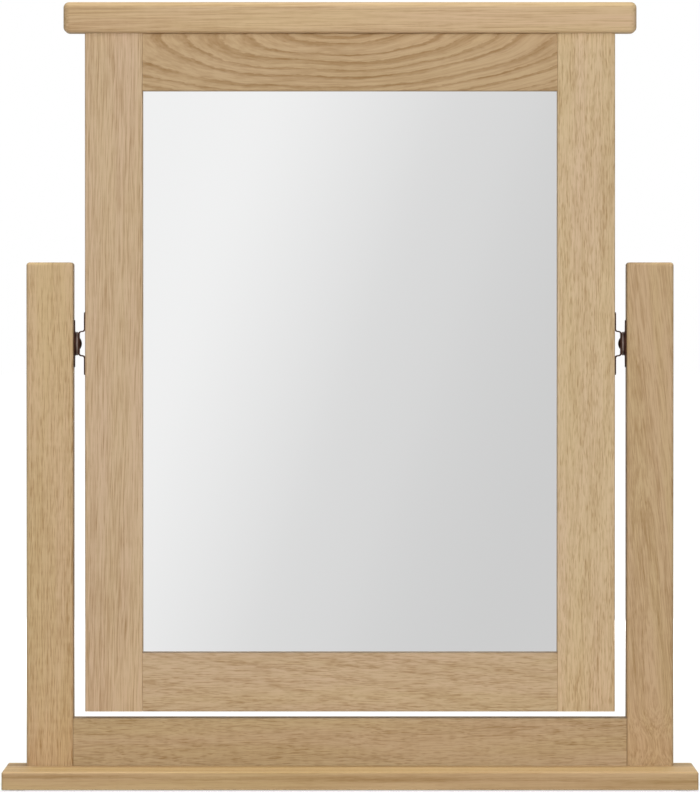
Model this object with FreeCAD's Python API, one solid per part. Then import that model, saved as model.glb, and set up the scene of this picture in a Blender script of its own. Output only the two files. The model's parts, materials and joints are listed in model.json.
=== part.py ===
# A dressing table mirror: a framed mirror that swivels between two posts on a base board.
# Millimetres. The front faces -Y, +X is to the right as seen from the front, and +Z is up.
# The origin lies on the table, under the middle of the base board.
import FreeCAD
import Part

import math
import os

from FreeCAD import Vector

# Sight size of the glass, and the four members of the frame around it
OPENING_WIDTH = 324.0
OPENING_HEIGHT = 439.0
STILE_WIDTH = 45.0
TOP_RAIL_WIDTH = 45.0
BOTTOM_RAIL_WIDTH = 46.0

# What lies in the frame, from front to back: lip of wood, glass, glazing strips, backing board
LIP_THICK = 13.0
GLASS_THICK = 4.0
STRIP_THICK = 1.0
STRIP_WIDTH = 5.0
BACKING_THICK = 4.0
GLASS_REBATE = 8.0
BACKING_REBATE = 20.0
GLASS_ROOM = 0.8
BACKING_ROOM = 0.5

# Cap along the top of the frame
CAP_THICK = 24.0
CAP_END_OVERHANG = 16.5
CAP_FRONT_OVERHANG = 9.0
CAP_BACK_OVERHANG = 6.0

# Stand
BASE_THICK = 14.0
BASE_END_OVERHANG = 16.25
BASE_FRONT_OVERHANG = 82.0
BASE_BACK_OVERHANG = 7.0
POST_WIDTH = 36.5
POST_DEPTH = 36.0
POST_ABOVE_PIVOT = 63.5
CROSS_RAIL_HEIGHT = 37.0
CROSS_RAIL_THICK = 34.0
CROSS_RAIL_SETBACK = 1.0
FOOT_DIA = 18.0
FOOT_THICK = 1.0
FOOT_MARGIN = 2.5
FOOT_EASE = 0.3

# Where the frame hangs
FRAME_GAP = 5.0
PIVOT_ABOVE_CENTRE = 22.5

# Swivel fitting: a plate with a round boss on the post, a washer, a bent strap on the frame and a rivet
PLATE_THICK = 1.0
PLATE_CENTRE_RADIUS = 10.0
PLATE_END_RADIUS = 5.5
PLATE_SCREW_PITCH = 26.0
PLATE_EDGE_EASE = 0.3
BOSS_DIA = 19.0
BOSS_HEIGHT = 1.8
BOSS_EASE = 0.6
WASHER_DIA = 18.4
WASHER_THICK = 1.7
WASHER_EASE = 0.4
STRAP_LENGTH = 49.0
STRAP_WIDTH = 14.0
STRAP_THICK = 1.0
STRAP_RISE = 5.4
STRAP_HAT_WIDTH = 20.0
STRAP_BEND_RADIUS = 1.7
STRAP_BEND_SHARE = 0.45
STRAP_END_RADIUS = 5.0
STRAP_SCREW_PITCH = 34.0
RIVET_DIA = 5.0
RIVET_HEAD_DIA = 9.0
RIVET_HEAD_HEIGHT = 1.6
RIVET_TAIL_FLARE = 1.0
SWIVEL_PLAY = 0.1

# Dowels and screws
DOWEL_DIA = 8.0
DOWEL_LENGTH = 40.0
DOWEL_END_EASE = 1.0
DOWEL_WALL = 2.0
FRAME_DOWEL_PITCH = 22.0
STAND_DOWEL_PITCH = 18.0
STAND_DOWEL_LENGTH = 36.0
CAP_COVER = 8.0
POST_SCREW_DIA = 5.0
POST_SCREW_BITE = 42.0
POST_SCREW_PITCH = 16.0
CROSS_RAIL_SCREW_DIA = 4.5
CROSS_RAIL_SCREW_BITE = 24.0
CROSS_RAIL_SCREWS = 3
BASE_SCREW_SUNK = 1.0
BACKING_SCREW_DIA = 3.0
BACKING_SCREW_LENGTH = 14.0
BACKING_ROW_SCREWS = 3
BACKING_SIDE_SCREWS = 3
HINGE_SCREW_DIA = 3.0
HINGE_SCREW_LENGTH = 15.0
SCREW_HEAD_RATIO = 1.9
SCREW_TIP_RATIO = 1.2
DRIVE_ARM_RATIO = 0.6
DRIVE_WIDTH_RATIO = 0.3
DRIVE_DEPTH_RATIO = 0.4

# Fits: radial clearance of dowels, screws and the rivet, and room past the end of a blind hole
FIT = 0.05
END_ROOM = 0.5

# Rounded edges
CAP_EDGE = 4.5
CAP_CORNER = 5.0
BASE_TOP_EDGE = 1.5
BASE_UNDER_EDGE = 0.5
BASE_CORNER = 2.0
POST_EDGE = 2.5
CROSS_RAIL_EDGE = 1.0
FRAME_EDGE = 1.2
SIGHT_EDGE = 0.8
END_EDGE = 0.25
GLASS_ARRIS = 0.6

# Worked out from the sizes above: widths, seen from the front
FRAME_WIDTH = OPENING_WIDTH + 2 * STILE_WIDTH
SWIVEL_GAP = BOSS_HEIGHT + WASHER_THICK + SWIVEL_PLAY + STRAP_RISE
OPENING_X = OPENING_WIDTH / 2
STILE_X = FRAME_WIDTH / 2
POST_X = STILE_X + SWIVEL_GAP
POST_OUTER_X = POST_X + POST_WIDTH
BASE_X = POST_OUTER_X + BASE_END_OVERHANG
CAP_X = STILE_X + CAP_END_OVERHANG

# Heights
FRAME_HEIGHT = BOTTOM_RAIL_WIDTH + OPENING_HEIGHT + TOP_RAIL_WIDTH
BASE_TOP = FOOT_THICK + BASE_THICK
CROSS_RAIL_TOP = BASE_TOP + CROSS_RAIL_HEIGHT
FRAME_BOTTOM = CROSS_RAIL_TOP + FRAME_GAP
FRAME_TOP = FRAME_BOTTOM + FRAME_HEIGHT
OPENING_BOTTOM = FRAME_BOTTOM + BOTTOM_RAIL_WIDTH
OPENING_TOP = OPENING_BOTTOM + OPENING_HEIGHT
OPENING_MIDDLE = (OPENING_BOTTOM + OPENING_TOP) / 2
PIVOT_HEIGHT = FRAME_BOTTOM + FRAME_HEIGHT / 2 + PIVOT_ABOVE_CENTRE
POST_TOP = PIVOT_HEIGHT + POST_ABOVE_PIVOT
CAP_TOP = FRAME_TOP + CAP_THICK

# Depths from the pivot line, which runs through the middle of the posts and of the frame
FRAME_THICK = LIP_THICK + GLASS_THICK + STRIP_THICK + BACKING_THICK
FRAME_FRONT = -FRAME_THICK / 2
FRAME_BACK = FRAME_THICK / 2
GLASS_FRONT = FRAME_FRONT + LIP_THICK
GLASS_BACK = GLASS_FRONT + GLASS_THICK
BACKING_FRONT = FRAME_BACK - BACKING_THICK
LIP_MIDDLE = FRAME_FRONT + LIP_THICK / 2
CROSS_RAIL_FRONT = -POST_DEPTH / 2 + CROSS_RAIL_SETBACK
CROSS_RAIL_MIDDLE = CROSS_RAIL_FRONT + CROSS_RAIL_THICK / 2
BASE_FRONT = -POST_DEPTH / 2 - BASE_FRONT_OVERHANG
BASE_BACK = POST_DEPTH / 2 + BASE_BACK_OVERHANG
BASE_MIDDLE = (BASE_FRONT + BASE_BACK) / 2

# Places along the pivot line, on the right-hand side
BOSS_FACE_X = POST_X - BOSS_HEIGHT
WASHER_FACE_X = BOSS_FACE_X - WASHER_THICK
STRAP_FLAT_X = STILE_X + STRAP_RISE
RIVET_HEAD_X = STRAP_FLAT_X - STRAP_THICK - SWIVEL_PLAY

# Half of each dowel lies in either member, and its hole is a little deeper
FRAME_DOWEL_REACH = DOWEL_LENGTH / 2
STAND_DOWEL_REACH = STAND_DOWEL_LENGTH / 2
CAP_DOWEL_X = OPENING_X + FRAME_DOWEL_REACH + END_ROOM + DOWEL_WALL + DOWEL_DIA / 2
CAP_DOWEL_RISE = CAP_THICK - CAP_COVER
POST_SCREW_X = POST_X + STAND_DOWEL_REACH + END_ROOM + DOWEL_WALL + POST_SCREW_DIA / 2
POST_SCREW_LENGTH = BASE_THICK - BASE_SCREW_SUNK + POST_SCREW_BITE
CROSS_RAIL_SCREW_LENGTH = BASE_THICK - BASE_SCREW_SUNK + CROSS_RAIL_SCREW_BITE

SAME_PLACE = 0.001
CUT_PAST = 0.001
SIDES = (-1, 1)
UP = Vector(0, 0, 1)
DOWN = Vector(0, 0, -1)
BACK = Vector(0, 1, 0)


# Shapes that many pieces share


def box(x, y, z):
    """A box over three (low, high) spans."""
    return Part.makeBox(x[1] - x[0], y[1] - y[0], z[1] - z[0], Vector(x[0], y[0], z[0]))


def rod(diameter, start, end):
    """A round rod from one point to another."""
    along = end - start
    return Part.makeCylinder(diameter / 2, along.Length, start, along)


def edges_at(shape, **place):
    """The edges that lie wholly at the coordinates given, such as x=10, z=4."""
    found = []
    for edge in shape.Edges:
        bounds = edge.BoundBox
        spans = {
            "x": (bounds.XMin, bounds.XMax),
            "y": (bounds.YMin, bounds.YMax),
            "z": (bounds.ZMin, bounds.ZMax),
        }
        if all(abs(end - value) < SAME_PLACE for axis, value in place.items() for end in spans[axis]):
            found.append(edge)
    return found


def eased(shape, radius, *places):
    """The shape with the edges at each of the places rounded over."""
    edges = [edge for place in places for edge in edges_at(shape, **place)]
    return shape.makeFillet(radius, edges)


def turned(outline):
    """A solid of revolution about Z, from (radius, height) points that start and end on the axis."""
    points = [Vector(radius, 0, height) for radius, height in outline]
    wire = Part.makePolygon(points + points[:1])
    return Part.Face(wire).revolve(Vector(0, 0, 0), UP, 360)


def dome(radius, height):
    """A low dome that stands on the XY plane."""
    ball_radius = (radius ** 2 + height ** 2) / (2 * height)
    ball = Part.makeSphere(ball_radius, Vector(0, 0, height - ball_radius))
    return ball.common(Part.makeCylinder(radius, height))


def placed(shape, point, direction):
    """The shape moved to a point, with its own +Z turned along the direction."""
    moved = shape.copy()
    moved.Placement = FreeCAD.Placement(point, FreeCAD.Rotation(UP, direction))
    return moved


def mirrored(shape):
    """The left-hand twin of a right-hand shape."""
    return shape.mirror(Vector(0, 0, 0), Vector(1, 0, 0))


def evenly(count, span):
    """Places about zero that share a span into equal bays, one place in the middle of each bay."""
    return [(i - (count - 1) / 2) * span / count for i in range(count)]


def pair(pitch):
    """Two places about zero, a pitch apart."""
    return (-pitch / 2, pitch / 2)


# Screws: the head's seat is at the origin and the point is below it


def cross_drive(head_radius, top):
    """The cross-shaped recess for a screwdriver, cut down from the top of a head."""
    arm = DRIVE_ARM_RATIO * head_radius
    half_width = DRIVE_WIDTH_RATIO * head_radius / 2
    floor = top - DRIVE_DEPTH_RATIO * head_radius
    along = box((-arm, arm), (-half_width, half_width), (floor, top))
    across = box((-half_width, half_width), (-arm, arm), (floor, top))
    return along.fuse(across)


def sunk_screw(diameter, length):
    """A wood screw with a flat countersunk head, flush with its seat."""
    radius = diameter / 2
    head = SCREW_HEAD_RATIO * radius
    shoulder = -(length - SCREW_TIP_RATIO * diameter)
    body = turned([(0, 0), (head, 0), (radius, radius - head), (radius, shoulder), (0, -length)])
    return body.cut(cross_drive(head, 0))


def sunk_screw_hole(diameter, length, sunk):
    """Room for a countersunk screw, with a well above the head."""
    radius = diameter / 2 + FIT
    head = SCREW_HEAD_RATIO * diameter / 2 + FIT
    bottom = -(length + END_ROOM)
    well = [(0, sunk), (head, sunk), (head, 0)]
    return turned(well + [(radius, radius - head), (radius, bottom), (0, bottom)])


# Dowels: each is a pair of points, its two ends


def dowel(start, end):
    """A beech dowel with eased ends."""
    along = end - start
    plain = Part.makeCylinder(DOWEL_DIA / 2, along.Length)
    ends = [edge for edge in plain.Edges if edge.BoundBox.ZLength < SAME_PLACE]
    return placed(plain.makeChamfer(DOWEL_END_EASE, ends), start, along)


def dowel_hole(start, end):
    """The hole that a dowel is glued in, with room past both its ends."""
    room = (end - start).normalize() * END_ROOM
    return rod(DOWEL_DIA + 2 * FIT, start - room, end + room)


def frame_dowel_ends():
    """Two dowels across each of the four joints between a stile and a rail."""
    middles = (FRAME_BOTTOM + BOTTOM_RAIL_WIDTH / 2, FRAME_TOP - TOP_RAIL_WIDTH / 2)
    ends = []
    for side in SIDES:
        for middle in middles:
            for step in pair(FRAME_DOWEL_PITCH):
                joint = Vector(side * OPENING_X, LIP_MIDDLE, middle + step)
                reach = Vector(FRAME_DOWEL_REACH, 0, 0)
                ends.append((joint - reach, joint + reach))
    return ends


def cap_dowel_ends():
    """An upright dowel from the top of each stile into the cap, and two from the top rail."""
    ends = []
    for x in (-CAP_DOWEL_X, -OPENING_X / 2, OPENING_X / 2, CAP_DOWEL_X):
        foot = Vector(x, LIP_MIDDLE, FRAME_TOP - FRAME_DOWEL_REACH)
        head = Vector(x, LIP_MIDDLE, FRAME_TOP + CAP_DOWEL_RISE - END_ROOM)
        ends.append((foot, head))
    return ends


def stand_dowel_ends():
    """Two dowels across each joint between the cross rail and a post."""
    middle = BASE_TOP + CROSS_RAIL_HEIGHT / 2
    ends = []
    for side in SIDES:
        for step in pair(STAND_DOWEL_PITCH):
            joint = Vector(side * POST_X, CROSS_RAIL_MIDDLE, middle + step)
            reach = Vector(STAND_DOWEL_REACH, 0, 0)
            ends.append((joint - reach, joint + reach))
    return ends


# Where the screws go: each place is a seat and the direction that the head faces


def post_screw_places():
    """Two screws up through the base board into the foot of each post."""
    height = FOOT_THICK + BASE_SCREW_SUNK
    return [
        (Vector(side * POST_SCREW_X, step, height), DOWN)
        for side in SIDES
        for step in pair(POST_SCREW_PITCH)
    ]


def cross_rail_screw_places():
    """A row of screws up through the base board into the cross rail."""
    height = FOOT_THICK + BASE_SCREW_SUNK
    return [(Vector(x, CROSS_RAIL_MIDDLE, height), DOWN) for x in evenly(CROSS_RAIL_SCREWS, 2 * POST_X)]


def backing_screw_places():
    """Screws round the edge of the backing board, into the step between the two rebates."""
    step = (GLASS_REBATE + BACKING_REBATE) / 2
    places = []
    for x in evenly(BACKING_ROW_SCREWS, OPENING_WIDTH):
        for z in (OPENING_BOTTOM - step, OPENING_TOP + step):
            places.append((Vector(x, FRAME_BACK, z), BACK))
    for z in evenly(BACKING_SIDE_SCREWS, OPENING_HEIGHT):
        for side in SIDES:
            places.append((Vector(side * (OPENING_X + step), FRAME_BACK, OPENING_MIDDLE + z), BACK))
    return places


def plate_screw_places():
    """Two screws through each post plate, with their heads towards the frame."""
    return [
        (Vector(side * (POST_X - PLATE_THICK), 0, PIVOT_HEIGHT + step), Vector(-side, 0, 0))
        for side in SIDES
        for step in pair(PLATE_SCREW_PITCH)
    ]


def strap_screw_places():
    """Two screws through each strap, with their heads towards the post."""
    return [
        (Vector(side * (STILE_X + STRAP_THICK), 0, PIVOT_HEIGHT + step), Vector(side, 0, 0))
        for side in SIDES
        for step in pair(STRAP_SCREW_PITCH)
    ]


def all_placed(shape, places):
    """One copy of the shape at each place."""
    return [placed(shape, seat, direction) for seat, direction in places]


def cut_all(shape, cutters):
    """The shape with every cutter taken away, apart from those that miss it."""
    near = [cutter for cutter in cutters if shape.BoundBox.intersect(cutter.BoundBox)]
    return shape.cut(near) if near else shape


def base_screw_holes():
    """The holes for the screws that rise through the base board."""
    post = sunk_screw_hole(POST_SCREW_DIA, POST_SCREW_LENGTH, BASE_SCREW_SUNK + CUT_PAST)
    rail = sunk_screw_hole(CROSS_RAIL_SCREW_DIA, CROSS_RAIL_SCREW_LENGTH, BASE_SCREW_SUNK + CUT_PAST)
    return all_placed(post, post_screw_places()) + all_placed(rail, cross_rail_screw_places())


def backing_screw_holes():
    """The holes for the screws that hold the backing board, in the board and in the frame."""
    hole = sunk_screw_hole(BACKING_SCREW_DIA, BACKING_SCREW_LENGTH, CUT_PAST)
    return all_placed(hole, backing_screw_places())


def plate_screw_holes():
    """The holes for the post plates' screws, in the plates and in the posts."""
    hole = sunk_screw_hole(HINGE_SCREW_DIA, HINGE_SCREW_LENGTH, CUT_PAST)
    return all_placed(hole, plate_screw_places())


def strap_screw_holes():
    """The holes for the straps' screws, in the straps and in the stiles."""
    hole = sunk_screw_hole(HINGE_SCREW_DIA, HINGE_SCREW_LENGTH, CUT_PAST)
    return all_placed(hole, strap_screw_places())


# Stand


def base_board():
    """The board that stands on the table, with eased edges and countersunk holes underneath."""
    depth = (BASE_FRONT, BASE_BACK)
    board = box((-BASE_X, BASE_X), depth, (FOOT_THICK, BASE_TOP))
    corners = [{"x": side * BASE_X, "y": y} for side in SIDES for y in depth]
    board = eased(board, BASE_CORNER, *corners)
    board = eased(board, BASE_TOP_EDGE, {"z": BASE_TOP})
    board = eased(board, BASE_UNDER_EDGE, {"z": FOOT_THICK})
    return cut_all(board, base_screw_holes())


def right_post():
    """An upright that carries one end of the pivot line."""
    depth = (-POST_DEPTH / 2, POST_DEPTH / 2)
    post = box((POST_X, POST_OUTER_X), depth, (BASE_TOP, POST_TOP))
    corners = [{"x": x, "y": y} for x in (POST_X, POST_OUTER_X) for y in depth]
    post = eased(post, POST_EDGE, {"z": POST_TOP}, *corners)
    dowel_holes = [dowel_hole(*ends) for ends in stand_dowel_ends()]
    return cut_all(post, dowel_holes + base_screw_holes() + plate_screw_holes())


def cross_rail():
    """The rail on the base board that ties the posts together."""
    depth = (CROSS_RAIL_FRONT, CROSS_RAIL_FRONT + CROSS_RAIL_THICK)
    rail = box((-POST_X, POST_X), depth, (BASE_TOP, CROSS_RAIL_TOP))
    rail = eased(rail, CROSS_RAIL_EDGE, *[{"y": y, "z": CROSS_RAIL_TOP} for y in depth])
    dowel_holes = [dowel_hole(*ends) for ends in stand_dowel_ends()]
    return cut_all(rail, dowel_holes + base_screw_holes())


def rubber_feet():
    """Four low feet under the corners of the base board."""
    foot = Part.makeCylinder(FOOT_DIA / 2, FOOT_THICK)
    foot = eased(foot, FOOT_EASE, {"z": 0})
    inset = FOOT_MARGIN + FOOT_DIA / 2
    places = [
        Vector(side * (BASE_X - inset), y, 0)
        for side in SIDES
        for y in (BASE_FRONT + inset, BASE_BACK - inset)
    ]
    return [placed(foot, place, UP) for place in places]


# Frame


def right_stile():
    """An upright of the frame, as tall as the frame, rebated at the back for the glass and backing."""
    stile = box((OPENING_X, STILE_X), (FRAME_FRONT, FRAME_BACK), (FRAME_BOTTOM, FRAME_TOP))
    stile = eased(stile, FRAME_EDGE, {"x": STILE_X, "y": FRAME_FRONT}, {"x": STILE_X, "y": FRAME_BACK})
    stile = eased(stile, SIGHT_EDGE, {"x": OPENING_X, "y": FRAME_FRONT})
    stile = eased(stile, END_EDGE, {"z": FRAME_BOTTOM})
    return cut_all(stile, frame_cutters())


def rail(bottom, top, outer_edge, sight_edge):
    """A rail of the frame, between the stiles, with its outer and sight edges eased."""
    member = box((-OPENING_X, OPENING_X), (FRAME_FRONT, FRAME_BACK), (bottom, top))
    outer_edges = [{"y": y, "z": outer_edge} for y in (FRAME_FRONT, FRAME_BACK)]
    member = eased(member, FRAME_EDGE, *outer_edges)
    member = eased(member, SIGHT_EDGE, {"y": FRAME_FRONT, "z": sight_edge})
    member = eased(member, END_EDGE, {"x": -OPENING_X}, {"x": OPENING_X})
    return cut_all(member, frame_cutters())


def frame_cutters():
    """Everything that is taken out of the frame's members: rebates, dowel holes and screw holes."""
    rebates = [
        box(
            (-OPENING_X - rebate, OPENING_X + rebate),
            (front, FRAME_BACK + CUT_PAST),
            (OPENING_BOTTOM - rebate, OPENING_TOP + rebate),
        )
        for rebate, front in ((GLASS_REBATE, GLASS_FRONT), (BACKING_REBATE, BACKING_FRONT))
    ]
    dowel_holes = [dowel_hole(*ends) for ends in frame_dowel_ends() + cap_dowel_ends()]
    return rebates + dowel_holes + backing_screw_holes() + strap_screw_holes()


def top_cap():
    """The rounded board along the top of the frame, which overhangs it all round."""
    depth = (FRAME_FRONT - CAP_FRONT_OVERHANG, FRAME_BACK + CAP_BACK_OVERHANG)
    cap = box((-CAP_X, CAP_X), depth, (FRAME_TOP, CAP_TOP))
    corners = [{"x": side * CAP_X, "y": y} for side in SIDES for y in depth]
    cap = eased(cap, CAP_CORNER, *corners)
    cap = eased(cap, CAP_EDGE, {"z": CAP_TOP}, {"z": FRAME_TOP})
    return cut_all(cap, [dowel_hole(*ends) for ends in cap_dowel_ends()])


def mirror_glass():
    """The silvered pane, with ground edges, which stands on the bottom rebate and bears on the lip."""
    half_width = OPENING_X + GLASS_REBATE - GLASS_ROOM
    heights = (OPENING_BOTTOM - GLASS_REBATE, OPENING_TOP + GLASS_REBATE - GLASS_ROOM)
    pane = box((-half_width, half_width), (GLASS_FRONT, GLASS_BACK), heights)
    return pane.makeChamfer(GLASS_ARRIS, pane.Edges)


def glazing_strips():
    """Four rubber strips that keep the backing board off the silvering."""
    depth = (GLASS_BACK, BACKING_FRONT)
    upright = box((OPENING_X, OPENING_X + STRIP_WIDTH), depth, (OPENING_BOTTOM, OPENING_TOP))
    lower = box((-OPENING_X, OPENING_X), depth, (OPENING_BOTTOM - STRIP_WIDTH, OPENING_BOTTOM))
    upper = box((-OPENING_X, OPENING_X), depth, (OPENING_TOP, OPENING_TOP + STRIP_WIDTH))
    return [upright, mirrored(upright), lower, upper]


def backing_board():
    """The board screwed into the back of the frame."""
    reach = BACKING_REBATE - BACKING_ROOM
    board = box(
        (-OPENING_X - reach, OPENING_X + reach),
        (BACKING_FRONT, FRAME_BACK),
        (OPENING_BOTTOM - reach, OPENING_TOP + reach),
    )
    return cut_all(board, backing_screw_holes())


# Swivel fitting, right-hand side


def plate_outline():
    """The face of the post plate: a round middle and two smaller round ears, joined by tangent lines."""
    pitch = PLATE_SCREW_PITCH / 2
    slope = math.asin((PLATE_CENTRE_RADIUS - PLATE_END_RADIUS) / pitch)

    def at(radius, centre, angle):
        return Vector(POST_X, radius * math.cos(angle), PIVOT_HEIGHT + centre + radius * math.sin(angle))

    def arc(radius, centre, start, end):
        middle = (start + end) / 2
        points = [at(radius, centre, angle) for angle in (start, middle, end)]
        return Part.Arc(*points).toShape()

    turn = math.pi
    arcs = [
        arc(PLATE_CENTRE_RADIUS, 0, -slope, slope),
        arc(PLATE_END_RADIUS, pitch, slope, turn - slope),
        arc(PLATE_CENTRE_RADIUS, 0, turn - slope, turn + slope),
        arc(PLATE_END_RADIUS, -pitch, turn + slope, 2 * turn - slope),
    ]
    edges = []
    for piece, following in zip(arcs, arcs[1:] + arcs[:1]):
        end = piece.valueAt(piece.LastParameter)
        start = following.valueAt(following.FirstParameter)
        edges += [piece, Part.LineSegment(end, start).toShape()]
    return Part.Face(Part.Wire(edges))


def pivot_rod(diameter, near, far):
    """A rod on the pivot line between two places along X."""
    return rod(diameter, Vector(near, 0, PIVOT_HEIGHT), Vector(far, 0, PIVOT_HEIGHT))


def rivet_shape(room):
    """The rivet, or with some room the space that it needs: domed head, shank and flared tail."""
    shank = RIVET_DIA / 2 + room
    length = POST_X - RIVET_HEAD_X
    flare = shank + RIVET_TAIL_FLARE
    body = turned([(0, 0), (shank, 0), (shank, length - RIVET_TAIL_FLARE), (flare, length), (0, length)])
    return placed(body, Vector(RIVET_HEAD_X, 0, PIVOT_HEIGHT), Vector(1, 0, 0))


def right_post_plate():
    """The plate on the post, with the round boss that the rivet is peened into."""
    plate = plate_outline().extrude(Vector(-PLATE_THICK, 0, 0))
    plate = eased(plate, PLATE_EDGE_EASE, {"x": POST_X - PLATE_THICK})
    boss = eased(pivot_rod(BOSS_DIA, POST_X, BOSS_FACE_X), BOSS_EASE, {"x": BOSS_FACE_X})
    return cut_all(plate.fuse(boss).removeSplitter(), [rivet_shape(FIT)] + plate_screw_holes())


def right_friction_washer():
    """The washer between the boss and the strap."""
    washer = pivot_rod(WASHER_DIA, BOSS_FACE_X, WASHER_FACE_X)
    washer = eased(washer, WASHER_EASE, {"x": BOSS_FACE_X}, {"x": WASHER_FACE_X})
    return washer.cut(rivet_shape(FIT))


def right_pivot_rivet():
    """The rivet that the strap turns on."""
    head = placed(
        dome(RIVET_HEAD_DIA / 2, RIVET_HEAD_HEIGHT),
        Vector(RIVET_HEAD_X, 0, PIVOT_HEIGHT),
        Vector(-1, 0, 0),
    )
    return rivet_shape(0).fuse(head).removeSplitter()


def right_strap():
    """The strap on the stile, bent out in the middle to lie on the washer."""
    hat = STRAP_HAT_WIDTH / 2
    end = STRAP_LENGTH / 2
    thick = STRAP_THICK
    rise = STRAP_RISE
    upper_half = [(thick, end), (thick, hat), (rise, hat), (rise, -hat), (thick, -hat), (thick, -end)]
    lower_half = [(0, -end), (0, thick - hat), (rise - thick, thick - hat)]
    return_half = [(rise - thick, hat - thick), (0, hat - thick), (0, end)]
    outline = [
        Vector(STILE_X + x, -STRAP_WIDTH / 2, PIVOT_HEIGHT + z)
        for x, z in upper_half + lower_half + return_half
    ]
    strap = Part.Face(Part.makePolygon(outline + outline[:1])).extrude(Vector(0, STRAP_WIDTH, 0))
    bend = min(STRAP_BEND_RADIUS, STRAP_BEND_SHARE * (rise - 2 * thick))
    inside = [
        {"x": STILE_X + x, "z": PIVOT_HEIGHT + side * z}
        for side in SIDES
        for x, z in ((thick, hat), (rise - thick, hat - thick))
    ]
    outside = [
        {"x": STILE_X + x, "z": PIVOT_HEIGHT + side * z}
        for side in SIDES
        for x, z in ((0, hat - thick), (rise, hat))
    ]
    strap = eased(eased(strap, bend, *inside), bend + thick, *outside)
    corners = [
        {"y": side_y * STRAP_WIDTH / 2, "z": PIVOT_HEIGHT + side_z * end}
        for side_y in SIDES
        for side_z in SIDES
    ]
    strap = eased(strap, STRAP_END_RADIUS, *corners)
    return cut_all(strap, [rivet_shape(FIT)] + strap_screw_holes())


# Every node of the assembly


def nodes():
    """Each named piece, or group of like pieces, as a list of solids."""
    hinge_screw = sunk_screw(HINGE_SCREW_DIA, HINGE_SCREW_LENGTH)
    pieces = {
        "base_board": [base_board()],
        "cross_rail": [cross_rail()],
        "rubber_feet": rubber_feet(),
        "stand_dowels": [dowel(*ends) for ends in stand_dowel_ends()],
        "post_screws": all_placed(sunk_screw(POST_SCREW_DIA, POST_SCREW_LENGTH), post_screw_places()),
        "cross_rail_screws": all_placed(
            sunk_screw(CROSS_RAIL_SCREW_DIA, CROSS_RAIL_SCREW_LENGTH), cross_rail_screw_places()
        ),
        "post_plate_screws": all_placed(hinge_screw, plate_screw_places()),
        "top_rail": [rail(OPENING_TOP, FRAME_TOP, FRAME_TOP, OPENING_TOP)],
        "bottom_rail": [rail(FRAME_BOTTOM, OPENING_BOTTOM, FRAME_BOTTOM, OPENING_BOTTOM)],
        "top_cap": [top_cap()],
        "frame_dowels": [dowel(*ends) for ends in frame_dowel_ends()],
        "cap_dowels": [dowel(*ends) for ends in cap_dowel_ends()],
        "mirror_glass": [mirror_glass()],
        "glazing_strips": glazing_strips(),
        "backing_board": [backing_board()],
        "backing_screws": all_placed(
            sunk_screw(BACKING_SCREW_DIA, BACKING_SCREW_LENGTH), backing_screw_places()
        ),
        "strap_screws": all_placed(hinge_screw, strap_screw_places()),
    }
    handed = {
        "post": right_post(),
        "stile": right_stile(),
        "post_plate": right_post_plate(),
        "friction_washer": right_friction_washer(),
        "pivot_rivet": right_pivot_rivet(),
        "strap": right_strap(),
    }
    for name, shape in handed.items():
        pieces["right_" + name] = [shape]
        pieces["left_" + name] = [mirrored(shape)]
    return pieces


def main():
    """Moves each node from the pivot line to the origin under the base, and writes it to its own file."""
    os.makedirs("parts", exist_ok=True)
    for name, solids in nodes().items():
        shape = solids[0] if len(solids) == 1 else Part.makeCompound(solids)
        shape.translate(Vector(0, -BASE_MIDDLE, 0))
        shape.exportStep(f"parts/{name}.step")
        print(f"{name}: {len(shape.Solids)} solids, valid {shape.isValid()}, {shape.Volume:.1f} mm3")


main()
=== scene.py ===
"""A dressing table mirror in oak, silvered glass and antique bronze, in a plain studio.

Lengths are in metres, apart from those in the finishes, which are in millimetres.
+Z is up, +X is to the right as seen from the front, and the glass faces -Y.
"""

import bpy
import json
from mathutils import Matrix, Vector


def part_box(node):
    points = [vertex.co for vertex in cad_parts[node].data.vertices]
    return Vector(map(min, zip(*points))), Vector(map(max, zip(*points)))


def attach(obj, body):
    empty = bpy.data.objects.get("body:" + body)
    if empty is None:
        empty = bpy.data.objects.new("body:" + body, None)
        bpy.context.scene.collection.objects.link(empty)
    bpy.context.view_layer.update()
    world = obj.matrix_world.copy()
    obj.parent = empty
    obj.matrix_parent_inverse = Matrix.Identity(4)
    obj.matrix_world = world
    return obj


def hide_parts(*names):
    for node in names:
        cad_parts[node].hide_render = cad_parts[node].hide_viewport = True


bl_info = {
    "name": "Dressing Table Mirror",
    "version": (1, 0, 0),
    "blender": (4, 5, 0),
    "location": "3D View > Sidebar > Mirror",
    "description": "Dresses a swivelling dressing table mirror in oak, silvered glass and antique bronze",
    "category": "Object",
}

import json
import math
from dataclasses import dataclass

import bmesh
import bpy
from bpy.props import FloatProperty, FloatVectorProperty, PointerProperty
from mathutils import Matrix, Vector

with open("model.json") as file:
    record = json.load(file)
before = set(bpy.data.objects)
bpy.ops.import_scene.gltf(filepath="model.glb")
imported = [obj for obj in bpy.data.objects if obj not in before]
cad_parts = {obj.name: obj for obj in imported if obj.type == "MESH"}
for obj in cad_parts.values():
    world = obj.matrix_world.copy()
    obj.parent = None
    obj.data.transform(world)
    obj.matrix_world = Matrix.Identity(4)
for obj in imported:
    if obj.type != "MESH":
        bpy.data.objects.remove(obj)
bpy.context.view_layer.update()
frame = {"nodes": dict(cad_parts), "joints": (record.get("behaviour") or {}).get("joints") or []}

MM = 0.001
BACK = Vector((0, 1, 0))
UP = Vector((0, 0, 1))
SIDES = {"left": -1, "right": 1}
STAND = "stand"
MIRROR = "mirror"

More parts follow.
